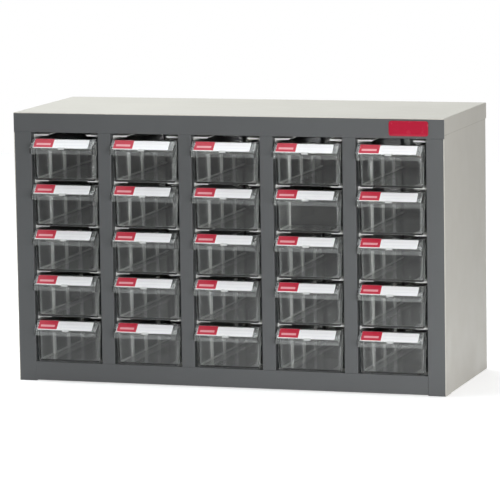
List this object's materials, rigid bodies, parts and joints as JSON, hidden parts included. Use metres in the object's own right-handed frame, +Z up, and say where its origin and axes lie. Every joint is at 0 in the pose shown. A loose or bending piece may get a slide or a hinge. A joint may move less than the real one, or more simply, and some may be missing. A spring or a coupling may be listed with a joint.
{
  "type": "parts bin cabinet",
  "caption": "Steel parts cabinet with a dark front frame, pale housing and columns of clear pull-out drawers with sloped label pulls.",
  "frame": {"origin": "on the resting plane, under the middle of the whole cabinet's box, drawer lips included", "axes": "+X to the right seen from the front, +Y to the rear, +Z up"},
  "size_m": [0.586, 0.2348, 0.358],
  "materials": {
    "pale_paint": "fine powder coat, satin",
    "dark_paint": "fine powder coat, satin",
    "red_plastic": "glossy",
    "clear_plastic": "clear, glossy",
    "divider_plastic": "smoky clear, glossy",
    "label_paper": "matt card with a red field at its left"
  },
  "bodies": {
    "cabinet": {"top_cover": "pale_paint", "left_side_panel": "pale_paint", "right_side_panel": "pale_paint", "back_panel": "pale_paint", "base_panel": "dark_paint", "front_frame": "dark_paint", "badge_plate": "red_plastic", "partition_panels": "dark_paint", "drawer_runners": "pale_paint"},
    "bin_r1c1": {"drawer_r1c1": "clear_plastic", "label_r1c1": "label_paper"},
    "bin_r1c2": {"drawer_r1c2": "clear_plastic", "label_r1c2": "label_paper"},
    "bin_r1c3": {"drawer_r1c3": "clear_plastic", "label_r1c3": "label_paper"},
    "bin_r1c4": {"drawer_r1c4": "clear_plastic", "label_r1c4": "label_paper"},
    "bin_r1c5": {"drawer_r1c5": "clear_plastic", "label_r1c5": "label_paper"},
    "bin_r2c1": {"drawer_r2c1": "clear_plastic", "label_r2c1": "label_paper"},
    "bin_r2c2": {"drawer_r2c2": "clear_plastic", "label_r2c2": "label_paper"},
    "bin_r2c3": {"drawer_r2c3": "clear_plastic", "label_r2c3": "label_paper"},
    "bin_r2c4": {"drawer_r2c4": "clear_plastic", "label_r2c4": "label_paper", "divider_r2c4": "divider_plastic"},
    "bin_r2c5": {"drawer_r2c5": "clear_plastic", "label_r2c5": "label_paper"},
    "bin_r3c1": {"drawer_r3c1": "clear_plastic", "label_r3c1": "label_paper"},
    "bin_r3c2": {"drawer_r3c2": "clear_plastic", "label_r3c2": "label_paper"},
    "bin_r3c3": {"drawer_r3c3": "clear_plastic", "label_r3c3": "label_paper"},
    "bin_r3c4": {"drawer_r3c4": "clear_plastic", "label_r3c4": "label_paper"},
    "bin_r3c5": {"drawer_r3c5": "clear_plastic", "label_r3c5": "label_paper"},
    "bin_r4c1": {"drawer_r4c1": "clear_plastic", "label_r4c1": "label_paper"},
    "bin_r4c2": {"drawer_r4c2": "clear_plastic", "label_r4c2": "label_paper"},
    "bin_r4c3": {"drawer_r4c3": "clear_plastic", "label_r4c3": "label_paper"},
    "bin_r4c4": {"drawer_r4c4": "clear_plastic", "label_r4c4": "label_paper"},
    "bin_r4c5": {"drawer_r4c5": "clear_plastic", "label_r4c5": "label_paper"},
    "bin_r5c1": {"drawer_r5c1": "clear_plastic", "label_r5c1": "label_paper"},
    "bin_r5c2": {"drawer_r5c2": "clear_plastic", "label_r5c2": "label_paper"},
    "bin_r5c3": {"drawer_r5c3": "clear_plastic", "label_r5c3": "label_paper"},
    "bin_r5c4": {"drawer_r5c4": "clear_plastic", "label_r5c4": "label_paper"},
    "bin_r5c5": {"drawer_r5c5": "clear_plastic", "label_r5c5": "label_paper"}
  },
  "joints": [
    {"name": "slide_r1c1", "type": "slide", "parent": "cabinet", "child": "bin_r1c1", "axis": [0, -1, 0], "range_m": [0, 0.17]},
    {"name": "slide_r1c2", "type": "slide", "parent": "cabinet", "child": "bin_r1c2", "axis": [0, -1, 0], "range_m": [0, 0.17]},
    {"name": "slide_r1c3", "type": "slide", "parent": "cabinet", "child": "bin_r1c3", "axis": [0, -1, 0], "range_m": [0, 0.17]},
    {"name": "slide_r1c4", "type": "slide", "parent": "cabinet", "child": "bin_r1c4", "axis": [0, -1, 0], "range_m": [0, 0.17]},
    {"name": "slide_r1c5", "type": "slide", "parent": "cabinet", "child": "bin_r1c5", "axis": [0, -1, 0], "range_m": [0, 0.17]},
    {"name": "slide_r2c1", "type": "slide", "parent": "cabinet", "child": "bin_r2c1", "axis": [0, -1, 0], "range_m": [0, 0.17]},
    {"name": "slide_r2c2", "type": "slide", "parent": "cabinet", "child": "bin_r2c2", "axis": [0, -1, 0], "range_m": [0, 0.17]},
    {"name": "slide_r2c3", "type": "slide", "parent": "cabinet", "child": "bin_r2c3", "axis": [0, -1, 0], "range_m": [0, 0.17]},
    {"name": "slide_r2c4", "type": "slide", "parent": "cabinet", "child": "bin_r2c4", "axis": [0, -1, 0], "range_m": [0, 0.17]},
    {"name": "slide_r2c5", "type": "slide", "parent": "cabinet", "child": "bin_r2c5", "axis": [0, -1, 0], "range_m": [0, 0.17]},
    {"name": "slide_r3c1", "type": "slide", "parent": "cabinet", "child": "bin_r3c1", "axis": [0, -1, 0], "range_m": [0, 0.17]},
    {"name": "slide_r3c2", "type": "slide", "parent": "cabinet", "child": "bin_r3c2", "axis": [0, -1, 0], "range_m": [0, 0.17]},
    {"name": "slide_r3c3", "type": "slide", "parent": "cabinet", "child": "bin_r3c3", "axis": [0, -1, 0], "range_m": [0, 0.17]},
    {"name": "slide_r3c4", "type": "slide", "parent": "cabinet", "child": "bin_r3c4", "axis": [0, -1, 0], "range_m": [0, 0.17]},
    {"name": "slide_r3c5", "type": "slide", "parent": "cabinet", "child": "bin_r3c5", "axis": [0, -1, 0], "range_m": [0, 0.17]},
    {"name": "slide_r4c1", "type": "slide", "parent": "cabinet", "child": "bin_r4c1", "axis": [0, -1, 0], "range_m": [0, 0.17]},
    {"name": "slide_r4c2", "type": "slide", "parent": "cabinet", "child": "bin_r4c2", "axis": [0, -1, 0], "range_m": [0, 0.17]},
    {"name": "slide_r4c3", "type": "slide", "parent": "cabinet", "child": "bin_r4c3", "axis": [0, -1, 0], "range_m": [0, 0.17]},
    {"name": "slide_r4c4", "type": "slide", "parent": "cabinet", "child": "bin_r4c4", "axis": [0, -1, 0], "range_m": [0, 0.17]},
    {"name": "slide_r4c5", "type": "slide", "parent": "cabinet", "child": "bin_r4c5", "axis": [0, -1, 0], "range_m": [0, 0.17]},
    {"name": "slide_r5c1", "type": "slide", "parent": "cabinet", "child": "bin_r5c1", "axis": [0, -1, 0], "range_m": [0, 0.17]},
    {"name": "slide_r5c2", "type": "slide", "parent": "cabinet", "child": "bin_r5c2", "axis": [0, -1, 0], "range_m": [0, 0.17]},
    {"name": "slide_r5c3", "type": "slide", "parent": "cabinet", "child": "bin_r5c3", "axis": [0, -1, 0], "range_m": [0, 0.17]},
    {"name": "slide_r5c4", "type": "slide", "parent": "cabinet", "child": "bin_r5c4", "axis": [0, -1, 0], "range_m": [0, 0.17]},
    {"name": "slide_r5c5", "type": "slide", "parent": "cabinet", "child": "bin_r5c5", "axis": [0, -1, 0], "range_m": [0, 0.17]}
  ]
}
